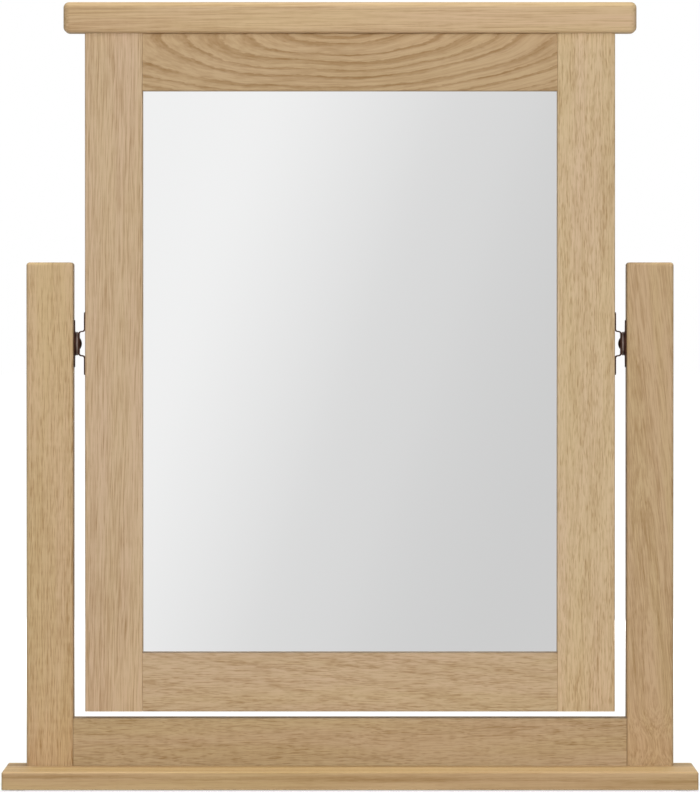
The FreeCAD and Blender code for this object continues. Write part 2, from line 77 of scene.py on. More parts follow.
# Places and sizes taken from the frame
PIVOT = Vector(frame["joints"][0]["pos_m"])
STILE_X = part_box("right_stile")[1].x
POST_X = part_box("right_post")[0].x
STRAP_LOW, STRAP_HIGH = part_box("right_strap")
PLATE_LOW, PLATE_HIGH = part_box("right_post_plate")
WASHER_LOW, WASHER_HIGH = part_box("right_friction_washer")
RIVET_LOW, RIVET_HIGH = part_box("right_pivot_rivet")
GLASS_LOW, GLASS_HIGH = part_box("mirror_glass")
FEET_LOW, FEET_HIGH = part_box("rubber_feet")

# How finely round things are modelled
TURNED_SIDES = 64
SCREW_SIDES = 40
BEND_STEPS = 8
ROUND_STEPS = 6
DOME_STEPS = 10
SOFT_STEPS = 2
AXIS_RADIUS = 0.001 * MM
SAME_PLACE = 0.01 * MM
SMOOTH_ANGLE = math.radians(35)

# How nearly a face's normal matches an axis that the face looks along
FACING = 0.99

# Slots for the finishes: the rubbed edges of sheet metal, and the face, edge and back of the pane
RUBBED_SLOT = 1
FACE_SLOT, EDGE_SLOT, BACK_SLOT = 0, 1, 2

# Room round a screw or a rivet in its hole
HOLE_FIT = 0.05 * MM

# Small shapes of the fittings and the feet. Shares are of the boss's and the foot's radius.
BOSS_RIM = 0.6 * MM
BOSS_WELL_DEPTH = 0.15 * MM
BOSS_WELL_SHARES = (0.55, 0.5)
WASHER_EASE = 0.4 * MM
RIVET_DOME = 1.6 * MM
RIVET_FLARE = 1.0 * MM
SCREW_RIM = 0.12 * MM
FOOT_EASE = 0.3 * MM
FOOT_TOP_EASE = 0.1 * MM
FOOT_HOLLOW_DEPTH = 0.15 * MM
FOOT_HOLLOW_SHARES = (0.62, 0.72)

# Shapes of the hinge screws, as shares of the shank's radius
SCREW_ROOT = 0.78
SCREW_NECK = 2.0
SCREW_POINT = 2.4

# Where a thread's groove has its flat, as shares of the pitch
GROOVE_FLAT = (0.3, 0.7)

# The recess in a screw's head: its reach, width and depth as shares of the head's radius, how far its
# cutter stands out as a share of the depth, and the length and width of its floor as shares of its top
DRIVE_REACH = 0.6
DRIVE_WIDTH = 0.3
DRIVE_DEPTH = 0.4
DRIVE_PAST = 0.1
DRIVE_TAPER = (0.35, 0.5)


# Settings


def colour(name, description, default):
    """A colour that a user may change."""
    return FloatVectorProperty(
        name=name, description=description, default=default, subtype="COLOR", size=3, min=0.0, max=1.0
    )


def board(name, default):
    """The mean colour of an oak board."""
    return colour(name, f"Mean colour of the {name.lower()}", default)


def distance(name, description, default):
    """A length that a user may change, with its default in millimetres."""
    return FloatProperty(
        name=name,
        description=description,
        default=default * MM,
        subtype="DISTANCE",
        unit="LENGTH",
        precision=5,
    )


def power(name, description, default):
    """The power of a softbox in watts, which a user may change."""
    return FloatProperty(
        name=name, description=description, default=default, min=0.0, subtype="POWER", unit="POWER"
    )


class OakSettings(bpy.types.PropertyGroup):
    """The mean colour of each oak board."""

    base_board: board("Base board", (0.457, 0.308, 0.160))
    left_post: board("Left post", (0.529, 0.373, 0.213))
    right_post: board("Right post", (0.475, 0.329, 0.187))
    cross_rail: board("Cross rail", (0.443, 0.322, 0.189))
    left_stile: board("Left stile", (0.532, 0.383, 0.248))
    right_stile: board("Right stile", (0.560, 0.413, 0.255))
    top_rail: board("Top rail", (0.466, 0.321, 0.187))
    bottom_rail: board("Bottom rail", (0.503, 0.370, 0.232))
    top_cap: board("Cap", (0.542, 0.380, 0.226))


class GlassSettings(bpy.types.PropertyGroup):
    """The silvered pane."""

    silver: colour("Silver", "Colour of the silvering", (0.920, 0.920, 0.920))
    edge: colour("Edge", "Colour of the glass seen through its ground edge", (0.16, 0.33, 0.27))
    paint: colour("Paint", "Colour of the paint on the back of the silvering", (0.16, 0.17, 0.18))
    arris: distance("Arris", "Width of the ground arris round the pane", 0.6)


class FittingSettings(bpy.types.PropertyGroup):
    """The swivel fittings, screws, feet and strips."""

    bronze: colour("Bronze", "Colour of the dark bronze", (0.074, 0.032, 0.021))
    worn_bronze: colour("Worn bronze", "Colour of bronze where its edges are rubbed", (0.240, 0.150, 0.105))
    washer: colour("Washer", "Colour of the turned washers", (0.250, 0.190, 0.170))
    steel: colour("Steel", "Colour of the zinc plated screws", (0.560, 0.510, 0.400))
    rubber: colour("Rubber", "Colour of the glazing strips", (0.028, 0.028, 0.030))
    clear_rubber: colour("Clear rubber", "Colour of the feet", (0.950, 0.950, 0.940))
    strap_thickness: distance("Strap thickness", "Thickness of the strap's sheet", 1.0)
    strap_hat: distance("Strap hat", "Width of the strap's raised middle", 20.0)
    strap_bend: distance("Strap bend", "Radius of the strap's bends at the middle of the sheet", 2.0)
    strap_end: distance("Strap end", "Radius of the corners of the strap", 5.0)
    strap_screw_pitch: distance("Strap screw pitch", "Distance between the strap's screws", 34.0)
    plate_thickness: distance("Plate thickness", "Thickness of the plate on the post", 1.0)
    plate_ear: distance("Plate ear", "Radius of the plate's ears", 5.5)
    plate_screw_pitch: distance("Plate screw pitch", "Distance between the plate's screws", 26.0)
    boss: distance("Boss", "Radius of the plate's raised boss", 9.5)
    rivet: distance("Rivet", "Radius of the rivet's shank", 2.5)
    screw: distance("Hinge screw", "Radius of the hinge screws' shanks", 1.5)
    screw_head: distance("Hinge screw head", "Radius of the hinge screws' countersunk heads", 2.85)
    screw_length: distance("Hinge screw length", "Length of the hinge screws", 15.0)
    thread_pitch: distance("Thread pitch", "Distance between the ridges of the hinge screws", 1.1)
    edge: distance("Edge", "Width of the softened edges of the sheet metal", 0.16)
    foot: distance("Foot", "Radius of the feet", 9.0)


class BoardSettings(bpy.types.PropertyGroup):
    """The woods that hardly show."""

    beech: colour("Beech", "Colour of the dowels", (0.600, 0.420, 0.260))
    hardboard: colour("Hardboard", "Colour of the backing board", (0.230, 0.130, 0.070))


class StudioSettings(bpy.types.PropertyGroup):
    """The camera, lights and floor."""

    camera_distance: distance("Camera distance", "From the camera to the pivot line", 6516.0)
    camera_height: distance("Camera height", "Height of the camera", 390.0)
    camera_dip: FloatProperty(
        name="Camera dip",
        description="How far the camera looks down",
        default=math.radians(0.7605),
        subtype="ANGLE",
    )
    lens: FloatProperty(
        name="Lens", description="Focal length of the lens", default=378.6, subtype="DISTANCE_CAMERA"
    )
    front: power("Front light", "Power of the softbox in front, in watts", 61.0)
    fill: power("Fill light", "Power of the softbox in front and above, in watts", 22.0)
    top: power("Top light", "Power of the softbox overhead, in watts", 690.0)
    back: power("Back light", "Power of the softbox behind, in watts", 40.0)
    ambient: FloatProperty(
        name="Ambient",
        description="Light from all round, as a share of white",
        default=0.07,
        min=0.0,
        max=1.0,
        subtype="FACTOR",
    )
    floor: colour("Floor", "Colour of the floor", (0.36, 0.36, 0.36))


class MirrorSettings(bpy.types.PropertyGroup):
    """Everything that a user may change."""

    oak: PointerProperty(type=OakSettings)
    glass: PointerProperty(type=GlassSettings)
    fittings: PointerProperty(type=FittingSettings)
    boards: PointerProperty(type=BoardSettings)
    studio: PointerProperty(type=StudioSettings)


def settings():
    """The settings of the scene."""
    return bpy.context.scene.table_mirror


# Shader maths

# Sockets of a Mix node that blends colours, which share their names with those for numbers
MIX_FACTOR, MIX_FIRST, MIX_SECOND = 0, 6, 7
MIX_RESULT = 2

# Sockets of the surface shader whose names aren't plain words
SHADER_SOCKETS = {"specular": "Specular IOR Level", "ior": "IOR"}

NOISE_MIDDLE = 0.5

# How far from the middle of its cell a dash fades out
DASH_EDGE = (0.42, 0.16)


class Wire:
    """The output of a node, which takes part in Python expressions on numbers."""

    def __init__(self, sheet, socket):
        self.sheet = sheet
        self.socket = socket

    def other(self, key):
        """Another output of the same node."""
        return Wire(self.sheet, self.socket.node.outputs[key])

    def __add__(self, number):
        return self.sheet.math("ADD", self, number)

    def __sub__(self, number):
        return self.sheet.math("SUBTRACT", self, number)

    def __rsub__(self, number):
        return self.sheet.math("SUBTRACT", number, self)

    def __mul__(self, number):
        return self.sheet.math("MULTIPLY", self, number)

    def __truediv__(self, number):
        return self.sheet.math("DIVIDE", self, number)

    __radd__ = __add__
    __rmul__ = __mul__


class Sheet:
    """A node tree that is written as expressions."""

    def __init__(self, owner):
        owner.use_nodes = True
        self.owner = owner
        self.tree = owner.node_tree
        self.tree.nodes.clear()

    def add(self, kind, options=None, sockets=None, output=0):
        """A node of a kind: its options are set first, and then its sockets get their values and links."""
        node = self.tree.nodes.new("ShaderNode" + kind)
        for key, value in (options or {}).items():
            if key == "stops":
                self.set_stops(node.color_ramp, value)
            else:
                setattr(node, key, value)
        for key, value in (sockets or {}).items():
            if isinstance(value, Wire):
                self.tree.links.new(value.socket, node.inputs[key])
            else:
                node.inputs[key].default_value = value
        return Wire(self, node.outputs[output]) if node.outputs else None

    def set_stops(self, ramp, stops):
        """Gives a ramp its stops, each a place from 0 to 1 and a grey."""
        ramp.interpolation = "CARDINAL"
        while len(ramp.elements) < len(stops):
            ramp.elements.new(1.0)
        for element, (place, grey) in zip(ramp.elements, stops):
            element.position = place
            element.color = (grey, grey, grey, 1.0)

    def math(self, operation, *numbers):
        """One step of arithmetic."""
        return self.add("Math", {"operation": operation}, dict(enumerate(numbers)))

    def vector(self, operation, *vectors, output="Vector"):
        """One step of arithmetic on vectors."""
        return self.add("VectorMath", {"operation": operation}, dict(enumerate(vectors)), output)

    def length(self, vector):
        """How long a vector is."""
        return self.vector("LENGTH", vector, output="Value")

    def along(self, vector, axis):
        """How far a vector goes along an axis."""
        return self.vector("DOT_PRODUCT", vector, axis, output="Value")

    def off_axis(self, place):
        """How far a place lies from the X axis."""
        return self.length(self.vector("MULTIPLY", place, (0.0, 1.0, 1.0)))

    def mix(self, factor, first, second):
        """A blend from one colour to another."""
        sockets = {MIX_FACTOR: factor, MIX_FIRST: opaque(first), MIX_SECOND: opaque(second)}
        return self.add("Mix", {"data_type": "RGBA"}, sockets, MIX_RESULT)

    def ease(self, number, low, high):
        """A smooth rise from 0 at the low end to 1 at the high end, or a fall where low is the higher."""
        sockets = {"Value": number, "From Min": low, "From Max": high}
        return self.add("MapRange", {"interpolation_type": "SMOOTHSTEP"}, sockets)

    def place(self, centre=(0, 0, 0), turn=(0, 0, 0)):
        """Where a point of the piece lies, in millimetres from a centre, along turned axes."""
        sockets = {
            "Vector": self.add("TexCoord", output="Object"),
            "Location": centre,
            "Rotation": turn,
            "Scale": (MM, MM, MM),
        }
        return self.add("Mapping", {"vector_type": "TEXTURE"}, sockets)

    def cells(self, place, size, shift):
        """A place counted in cells, which have one size or a size along each axis, from a shifted start."""
        scale = [1 / length for length in triple(size)]
        return self.vector("MULTIPLY_ADD", place, scale, triple(shift))

    def noise(self, place, size, detail=2.0, shift=0.0):
        """Soft noise about zero, in blotches of a size."""
        sockets = {"Vector": self.cells(place, size, shift), "Scale": 1.0, "Detail": detail}
        return self.add("TexNoise", {}, sockets) - NOISE_MIDDLE

    def dashes(self, place, size, share, shift=0.0):
        """Short dashes, one in each of a share of the cells of a size."""
        cell = self.add("TexVoronoi", {}, {"Vector": self.cells(place, size, shift), "Scale": 1.0})
        chance = self.add("SeparateColor", {}, {0: cell.other("Color")})
        return self.ease(cell, *DASH_EDGE) * self.math("LESS_THAN", chance, share)

    def bump(self, height, depth):
        """A surface that rises by a depth in millimetres where the height rises by 1."""
        return self.add("Bump", {}, {"Height": height, "Strength": 1.0, "Distance": depth * MM})

    def surface(self, **sockets):
        """The finished surface: the sockets of the shader, in words joined by underscores."""
        named = {shader_socket(words): value for words, value in sockets.items()}
        return self.output(self.add("BsdfPrincipled", {}, named))

    def output(self, shader, kind="OutputMaterial"):
        """Ends the tree with a shader."""
        self.add(kind, {}, {"Surface": shader})
        return self.owner


def shader_socket(words):
    """The name of a socket of the surface shader, from words joined by underscores."""
    return SHADER_SOCKETS.get(words, words.replace("_", " ").title())


def triple(value):
    """Three values, from three or from one that they share."""
    return (value,) * 3 if isinstance(value, (int, float)) else tuple(value)


def opaque(tint):
    """A colour as a socket takes it, with its alpha, or a wire as it is."""
    return tint if isinstance(tint, Wire) else (*tint, 1.0)


def tinted(tint, gains):
    """A colour multiplied by one gain, or by a gain for each channel."""
    return tuple(channel * gain for channel, gain in zip(tint, triple(gains)))


def new_sheet(name):
    """The sheet of a new material."""
    return Sheet(bpy.data.materials.new(name))


# Oak


@dataclass
class Cut:
    """How a board was cut from the tree, and how plainly its figure shows. Lengths are in millimetres.

    The run is the way that the grain goes. The pith is a point of the tree's middle line, and the knot
    is the middle of a knot, both measured from the middle of the board.
    """

    run: tuple
    pith: tuple
    ring: float
    wander: float = 4.0
    wander_size: tuple = (170, 34, 34)
    fray: float = 1.2
    spread: float = 1.0
    figure: float = 0.12
    zone: float = 0.5
    streak: float = 0.9
    streak_size: tuple = (30, 1.1, 1.1)
    fleck: float = 0.26
    fleck_size: tuple = (12, 0.9, 0.9)
    ripple: float = 0.10
    blush: float = 0.7
    drift: float = 0.0
    knot: tuple = ()


CUTS = {
    "base_board": Cut(
        run=(1.0, 0.006, 0.004), pith=(-130, 30, -53), ring=8.0, wander=2.0, figure=0.34, zone=0.6,
        streak=1.1, streak_size=(150, 3.2, 3.2), fleck=0.16,
    ),
    # The left post's drift is painted shade: it darkens the post towards its foot.
    "left_post": Cut(
        run=(0.003, 0.0, 1.0), pith=(-96, 52, 0), ring=3.4, figure=0.10, zone=0.4, streak=1.1,
        fleck=0.48, fleck_size=(11, 0.8, 0.8), ripple=0.25, drift=0.07,
    ),
    "right_post": Cut(
        run=(-0.05, 0.05, 1.0), pith=(6, -18, -190), ring=6.5, wander=9.0, wander_size=(80, 26, 26),
        streak=1.7, streak_size=(26, 1.2, 1.2), fleck=0.18, knot=(5, -12, -180),
    ),
    "cross_rail": Cut(
        run=(1.0, 0.03, -0.006), pith=(110, 80, -34), ring=5.0, wander=8.0, wander_size=(70, 24, 24),
        figure=0.10, zone=0.4, streak=1.2, fleck=0.44, fleck_size=(9, 0.75, 0.75), ripple=0.25,
    ),
    "left_stile": Cut(
        run=(0.015, 0.0, 1.0), pith=(120, 46, 0), ring=3.0, wander=5.0, wander_size=(110, 26, 26),
        figure=0.14, zone=0.7, streak=1.9, fleck=0.24, fleck_size=(16, 0.9, 0.9), blush=0.5,
    ),
    "right_stile": Cut(
        run=(0.012, 0.015, 1.0), pith=(34, 150, 0), ring=4.2, figure=0.08, streak=1.3, fleck=0.44,
        fleck_size=(8, 0.75, 0.75),
    ),
    "top_rail": Cut(
        run=(0.962, 0.272, 0.035), pith=(-5, -11, 27), ring=6.2, wander=6.0, wander_size=(90, 30, 30),
        fray=2.2, spread=0.15, figure=0.50, streak=1.1, streak_size=(60, 1.3, 1.3), fleck=0.12, blush=0.2,
    ),
    "bottom_rail": Cut(
        run=(1.0, 0.04, -0.03), pith=(60, 110, -40), ring=4.4, figure=0.10, zone=0.4, streak=1.3,
        fleck=0.40, fleck_size=(9, 0.8, 0.8),
    ),
    "top_cap": Cut(
        run=(1.0, 0.01, 0.004), pith=(0, 60, -70), ring=4.6, streak=1.5, streak_size=(60, 1.2, 1.2),
        fleck=0.14, drift=0.06,
    ),
}

# Growth: how unevenly the years follow each other, where in a year the early wood comes and goes,
# how far a knot pushes the rings aside; and the length over which a board drifts from dark to pale,
# which on the cap is the wood's own tone and on the left post is painted shade, darker towards its foot
UNEVEN_RATE = 0.7
UNEVEN_REACH = 1.4
EARLY_COMES = (0.0, 0.10)
EARLY_GOES = (0.50, 0.14)
KNOT_REACH = 34.0
KNOT_PUSH = 14.0
DRIFT_LENGTH = 100.0

# How the patterns add up
PLAIN_SHADE = 0.13
FIBRE_SHADE = 0.35
PORE_SHADE = 0.12
PORE_EARLY = 0.7
FLECK_CLUSTER = 0.2
FLECK_EARLY = 0.05
FLECK_EDGE = (0.0, 0.2)
BLUSH_EDGE = (-0.2, 0.2)

# Tints of a board's mean colour
PALE_YELLOW = (1.12, 1.14, 1.10)
PALE_PINK = (1.15, 1.13, 1.24)
DARK_GRAIN = (0.66, 0.55, 0.38)


def grain_turn(run):
    """The turn that lays X along the grain and keeps Y towards the back."""
    along = Vector(run).normalized()
    across = along.cross(BACK).normalized()
    return Matrix((along, across.cross(along), across)).transposed().to_euler()


def ring_lane(sheet, place, middle, cut):
    """How far from the pith the wood at a point grew, with the wander of a grown tree and any knot."""
    lane = sheet.off_axis(place) + sheet.noise(place, cut.wander_size) * cut.wander
    if cut.knot:
        off_knot = sheet.length(sheet.place(middle + Vector(cut.knot) * MM))
        lane = lane + sheet.ease(off_knot, KNOT_REACH, 0.0) * KNOT_PUSH
    return lane


def early_wood(sheet, place, lane, cut):
    """1 in the open wood of each spring and 0 in the rest of the year, in years of uneven width."""
    years = (lane + sheet.noise(place, size=(16, 2.2, 2.2)) * cut.fray) / cut.ring
    sockets = {"W": years * UNEVEN_RATE, "Scale": 1.0, "Detail": 1.0}
    uneven = sheet.add("TexNoise", {"noise_dimensions": "1D"}, sockets)
    season = sheet.math("FRACT", years + uneven * UNEVEN_REACH)
    return sheet.ease(season, *EARLY_COMES) * sheet.ease(season, *EARLY_GOES)


def oak(name, tone, cut):
    """Lacquered oak: growth rings about the pith, and streaks, flecks and open pores that follow them."""
    sheet = new_sheet("oak_" + name)
    low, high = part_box(name)
    middle = (low + high) / 2
    place = sheet.place(middle + Vector(cut.pith) * MM, grain_turn(cut.run))
    lane = ring_lane(sheet, place, middle, cut)
    early = early_wood(sheet, place, lane, cut)

    # Where a point lies in the grain: along it, out through the rings, and round them
    lengthways = sheet.along(place, (1.0, 0.0, 0.0))
    sideways = sheet.along(place, (0.0, cut.spread, cut.spread))
    grain = sheet.add("CombineXYZ", {}, {"X": lengthways, "Y": lane, "Z": sideways})

    # Patterns in the grain, each from its own part of the noise
    zone = sheet.noise(grain, size=(150, 15, 15), shift=3.7)
    streak = sheet.noise(grain, cut.streak_size, shift=11.3)
    fibre = sheet.noise(grain, size=(16, 0.5, 0.5), detail=1.0, shift=5.1)
    cluster = sheet.noise(grain, size=(70, 9, 9), detail=1.0, shift=8.9)
    speck = sheet.noise(grain, cut.fleck_size, detail=1.0, shift=1.9)
    fleck = sheet.ease(speck + cluster * FLECK_CLUSTER + early * FLECK_EARLY, *FLECK_EDGE)
    ripple = sheet.noise(place, size=(4.5, 22, 22), detail=1.0, shift=14.2)
    dash = sheet.dashes(grain, size=(5.0, 0.55, 0.55), share=0.5, shift=2.3)
    pore = dash * (early * PORE_EARLY + (1 - PORE_EARLY))

    # The drift term paints shade on the left post, darker towards its foot, and gives the cap its own paler
    # right end
    shade = (
        PLAIN_SHADE
        + zone * cut.zone
        + streak * cut.streak
        + fibre * FIBRE_SHADE
        + early * cut.figure
        + fleck * cut.fleck
        + ripple * cut.ripple
        + pore * PORE_SHADE
        - lengthways * (cut.drift / DRIFT_LENGTH)
    )
    shade = sheet.math("MINIMUM", sheet.math("MAXIMUM", shade, 0.0), 1.0)
    patch = sheet.noise(grain, size=(210, 17, 17), shift=17.0)
    blush = sheet.ease(patch, *BLUSH_EDGE) * cut.blush
    pale = sheet.mix(blush, tinted(tone, PALE_YELLOW), tinted(tone, PALE_PINK))
    relief = fibre * 0.25 - pore * 0.8 - fleck * 0.1
    return sheet.surface(
        base_color=sheet.mix(shade, pale, tinted(tone, DARK_GRAIN)),
        roughness=0.6 + pore * 0.2 + streak * 0.12,
        specular=0.35,
        normal=sheet.bump(relief, depth=0.1),
    )


# Other finishes


def beech():
    """Bare beech with its small dark flecks, for the dowels."""
    sheet = new_sheet("beech")
    tone = settings().boards.beech
    place = sheet.place()
    grain = sheet.noise(place, size=(9, 1.2, 9))
    fleck = sheet.dashes(place, size=(2.4, 0.5, 2.4), share=0.5)
    pale, dark = tinted(tone, 1.1), tinted(tone, (0.7, 0.62, 0.55))
    return sheet.surface(
        base_color=sheet.mix(grain + fleck * 0.5 + 0.3, pale, dark),
        roughness=0.6 + grain * 0.2,
        specular=0.3,
        normal=sheet.bump(grain, depth=0.05),
    )


def hardboard():
    """Smooth brown hardboard, with pressed fibres and faint cloudy tones."""
    sheet = new_sheet("hardboard")
    tone = settings().boards.hardboard
    place = sheet.place()
    cloud = sheet.noise(place, size=60, detail=3.0)
    level_fibre = sheet.noise(place, size=(5.0, 5.0, 0.7), detail=3.0)
    upright_fibre = sheet.noise(place, size=(0.7, 5.0, 5.0), detail=3.0, shift=4.0)
    fibre = level_fibre + upright_fibre
    speck = sheet.dashes(place, size=1.6, share=0.12)
    shade = 0.35 + cloud * 0.8 + fibre * 0.7 + speck * 0.5
    pale, dark = tinted(tone, 1.35), tinted(tone, (0.55, 0.5, 0.45))
    return sheet.surface(
        base_color=sheet.mix(shade, pale, dark),
        roughness=0.5 + fibre * 0.3,
        specular=0.35,
        normal=sheet.bump(fibre, depth=0.08),
    )


def silvered_glass():
    """The face of the mirror: silver seen through clean glass, with the faintest film on it."""
    sheet = new_sheet("silvered_glass")
    film = sheet.noise(sheet.place(), size=120, detail=3.0)
    silver = settings().glass.silver
    tint = sheet.mix(0.5 + film * 0.6, silver, tinted(silver, (0.99, 0.995, 0.995)))
    return sheet.surface(base_color=tint, metallic=1.0, roughness=0.012 + film * 0.01)


def ground_edge():
    """The green edge of the pane, ground smooth."""
    sheet = new_sheet("ground_glass_edge")
    tone = settings().glass.edge
    grind = sheet.noise(sheet.place(), size=0.8, detail=3.0)
    dark, pale = tinted(tone, 0.8), tinted(tone, (1.25, 1.2, 1.2))
    return sheet.surface(
        base_color=sheet.mix(0.5 + grind, dark, pale),
        roughness=0.28 + grind * 0.2,
        normal=sheet.bump(grind, depth=0.02),
    )


def backing_paint():
    """The paint that keeps the silvering from the air."""
    sheet = new_sheet("mirror_backing_paint")
    tone = settings().glass.paint
    place = sheet.place()
    flow = sheet.noise(place, size=(90, 90, 14), detail=3.0)
    grit = sheet.noise(place, size=0.9)
    dark, pale = tinted(tone, 0.85), tinted(tone, 1.2)
    return sheet.surface(
        base_color=sheet.mix(0.5 + flow + grit * 0.4, dark, pale),
        roughness=0.5 + grit * 0.2,
        normal=sheet.bump(grit, depth=0.03),
    )


def bronze(name, tone):
    """Antique bronze: dark, cloudy and a little rubbed."""
    sheet = new_sheet(name)
    place = sheet.place()
    cloud = sheet.noise(place, size=4.0, detail=3.0)
    rub = sheet.noise(place, size=0.9, detail=3.0, shift=6.0)
    dark, pale = tinted(tone, (0.65, 0.6, 0.6)), tinted(tone, (1.5, 1.45, 1.4))
    return sheet.surface(
        base_color=sheet.mix(0.4 + cloud * 1.4 + rub * 0.8, dark, pale),
        metallic=0.85,
        roughness=0.40 + cloud * 0.35,
        normal=sheet.bump(rub, depth=0.03),
    )


# How closely the tool marks on the washers follow each other, in radians to a millimetre
TURNING_RATE = 16.0


def washer_metal():
    """Dull turned metal, with fine rings about the pivot line."""
    sheet = new_sheet("turned_washer")
    tone = settings().fittings.washer
    place = sheet.place(PIVOT)
    turning = sheet.math("SINE", sheet.off_axis(place) * TURNING_RATE)
    cloud = sheet.noise(place, size=3.0, detail=3.0)
    dark, pale = tinted(tone, (0.75, 0.72, 0.7)), tinted(tone, 1.3)
    return sheet.surface(
        base_color=sheet.mix(0.5 + turning * 0.12 + cloud, dark, pale),
        metallic=0.85,
        roughness=0.42 + cloud * 0.3,
        normal=sheet.bump(turning, depth=0.01),
    )


def plated_steel():
    """Zinc plating with a faint straw colour that drifts."""
    sheet = new_sheet("plated_steel")
    tone = settings().fittings.steel
    place = sheet.place()
    drift = sheet.noise(place, size=3.0)
    grain = sheet.noise(place, size=0.4)
    straw, grey = tinted(tone, (1.05, 1.0, 0.8)), tinted(tone, (0.85, 0.9, 0.95))
    return sheet.surface(
        base_color=sheet.mix(0.5 + drift * 1.5, straw, grey),
        metallic=1.0,
        roughness=0.32 + grain * 0.3,
        normal=sheet.bump(grain, depth=0.01),
    )


def rubber():
    """Matt black rubber with a bloom of dust."""
    sheet = new_sheet("rubber")
    tone = settings().fittings.rubber
    place = sheet.place()
    bloom = sheet.noise(place, size=7.0, detail=3.0)
    grain = sheet.noise(place, size=0.5)
    return sheet.surface(
        base_color=sheet.mix(0.4 + bloom + grain * 0.4, tone, tinted(tone, 2.0)),
        roughness=0.75 + grain * 0.3,
        specular=0.3,
        normal=sheet.bump(grain, depth=0.04),
    )


def clear_rubber():
    """Soft clear rubber, a little cloudy, that light passes nearly straight through."""
    sheet = new_sheet("clear_rubber")
    tone = settings().fittings.clear_rubber
    place = sheet.place()
    cloud = sheet.noise(place, size=5.0, detail=3.0)
    grain = sheet.noise(place, size=0.6)
    return sheet.surface(
        base_color=sheet.mix(0.5 + cloud + grain * 0.3, tone, tinted(tone, (0.96, 0.96, 0.94))),
        roughness=0.06 + grain * 0.05,
        ior=1.1,
        transmission_weight=0.95,
        alpha=0.25 + cloud * 0.1,
        normal=sheet.bump(grain, depth=0.02),
    )


def finish_node(name, finish):
    """Gives a node of the frame its finish."""
    for holder in frame["nodes"][name].material_slots:
        holder.material = finish


# Modelling


def clear_selection():
    """Leaves edit mode and deselects everything, so that operators act on the next piece alone."""
    if bpy.context.mode != "OBJECT":
        bpy.ops.object.mode_set(mode="OBJECT")
    bpy.ops.object.select_all(action="DESELECT")


def take_up(*pieces):
    """Selects the pieces, and makes the first of them active."""
    clear_selection()
    for piece in pieces:
        piece.select_set(True)
    bpy.context.view_layer.objects.active = pieces[0]
    return pieces[0]


def select_where(kind, test):
    """Selects the corners, edges or faces that pass a test, in edit mode."""
    bpy.ops.mesh.select_mode(type=kind)
    bpy.ops.mesh.select_all(action="DESELECT")
    mesh = bpy.context.edit_object.data
    shape = bmesh.from_edit_mesh(mesh)
    parts = {"VERT": shape.verts, "EDGE": shape.edges, "FACE": shape.faces}[kind]
    for part in parts:
        if test(part):
            part.select_set(True)
    shape.select_flush_mode()
    bmesh.update_edit_mesh(mesh)


def apply_place():
    """Takes the place, turn and size of the active piece into its mesh, and returns the piece."""
    bpy.ops.object.transform_apply(location=True, rotation=True, scale=True)
    return bpy.context.object


def close_up():
    """Merges corners that coincide, turns every face outwards and leaves edit mode."""
    bpy.ops.mesh.select_mode(type="VERT")
    bpy.ops.mesh.select_all(action="SELECT")
    bpy.ops.mesh.remove_doubles(threshold=SAME_PLACE)
    bpy.ops.mesh.normals_make_consistent(inside=False)
    bpy.ops.object.mode_set(mode="OBJECT")
    return apply_place()


def arc(centre, radius, start, end, steps=ROUND_STEPS):
    """Points along an arc, from one angle to another in degrees."""
    angles = [math.radians(start + (end - start) * i / steps) for i in range(steps + 1)]
    return [(centre[0] + radius * math.cos(a), centre[1] + radius * math.sin(a)) for a in angles]


def dome(radius, height):
    """Points from the rim of a low dome, at height 0, to its crown on the axis."""
    ball = (radius ** 2 + height ** 2) / (2 * height)
    reach = math.degrees(math.asin(radius / ball))
    return arc((0, height - ball), ball, 90 - reach, 90, DOME_STEPS)


def turned(outline, sides=TURNED_SIDES):
    """A turned solid about Z: a ring is drawn out and resized from each (radius, height) to the next.

    The outline runs from the axis to the axis, or back to its first point to leave a bore.
    """
    clear_selection()
    radius, height = outline[0]
    radius = max(radius, AXIS_RADIUS)
    bpy.ops.mesh.primitive_circle_add(
        vertices=sides, radius=radius, location=(0, 0, height), fill_type="NOTHING", enter_editmode=True
    )
    for next_radius, next_height in outline[1:]:
        next_radius = max(next_radius, AXIS_RADIUS)
        bpy.ops.mesh.extrude_region_move(TRANSFORM_OT_translate={"value": (0, 0, next_height - height)})
        ratio = next_radius / radius
        bpy.ops.transform.resize(value=(ratio, ratio, 1), center_override=(0, 0, next_height))
        radius, height = next_radius, next_height
    return close_up()


def with_modifier(piece, kind, **options):
    """Adds a modifier to a piece and applies it."""
    take_up(piece)
    bpy.ops.object.modifier_add(type=kind)
    modifier = piece.modifiers[-1]
    for key, value in options.items():
        setattr(modifier, key, value)
    bpy.ops.object.modifier_apply(modifier=modifier.name)
    return piece


def combined(piece, operation, other):
    """Joins a second solid to a piece, or cuts it out of it, and takes the second away."""
    with_modifier(piece, "BOOLEAN", operation=operation, object=other, solver="EXACT")
    bpy.data.objects.remove(other)
    return piece


def copies(model, places):
    """A copy of a model, with a mesh of its own, at each place. The model is taken away."""
    made = []
    for place in places:
        take_up(model)
        bpy.ops.object.duplicate(linked=False)
        bpy.context.object.matrix_world = place
        made.append(apply_place())
    bpy.data.objects.remove(model)
    return made


def joined(pieces):
    """Several pieces as one."""
    take_up(*pieces)
    bpy.ops.object.join()
    return bpy.context.object


def seated(piece, name, body, node, slot, *finishes):
    """Names and finishes a piece, smooths it, and puts it in the frame in place of a node."""
    take_up(piece)
    bpy.ops.object.shade_smooth_by_angle(angle=SMOOTH_ANGLE)
    piece.name = name
    piece.data.name = name
    indices = [face.material_index for face in piece.data.polygons]
    piece.data.materials.clear()
    for finish in finishes:
        piece.data.materials.append(finish)
    piece.data.polygons.foreach_set("material_index", indices)
    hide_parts(node)
    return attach(piece, body)


# The swivel fittings, each modelled once in the hinge's own frame


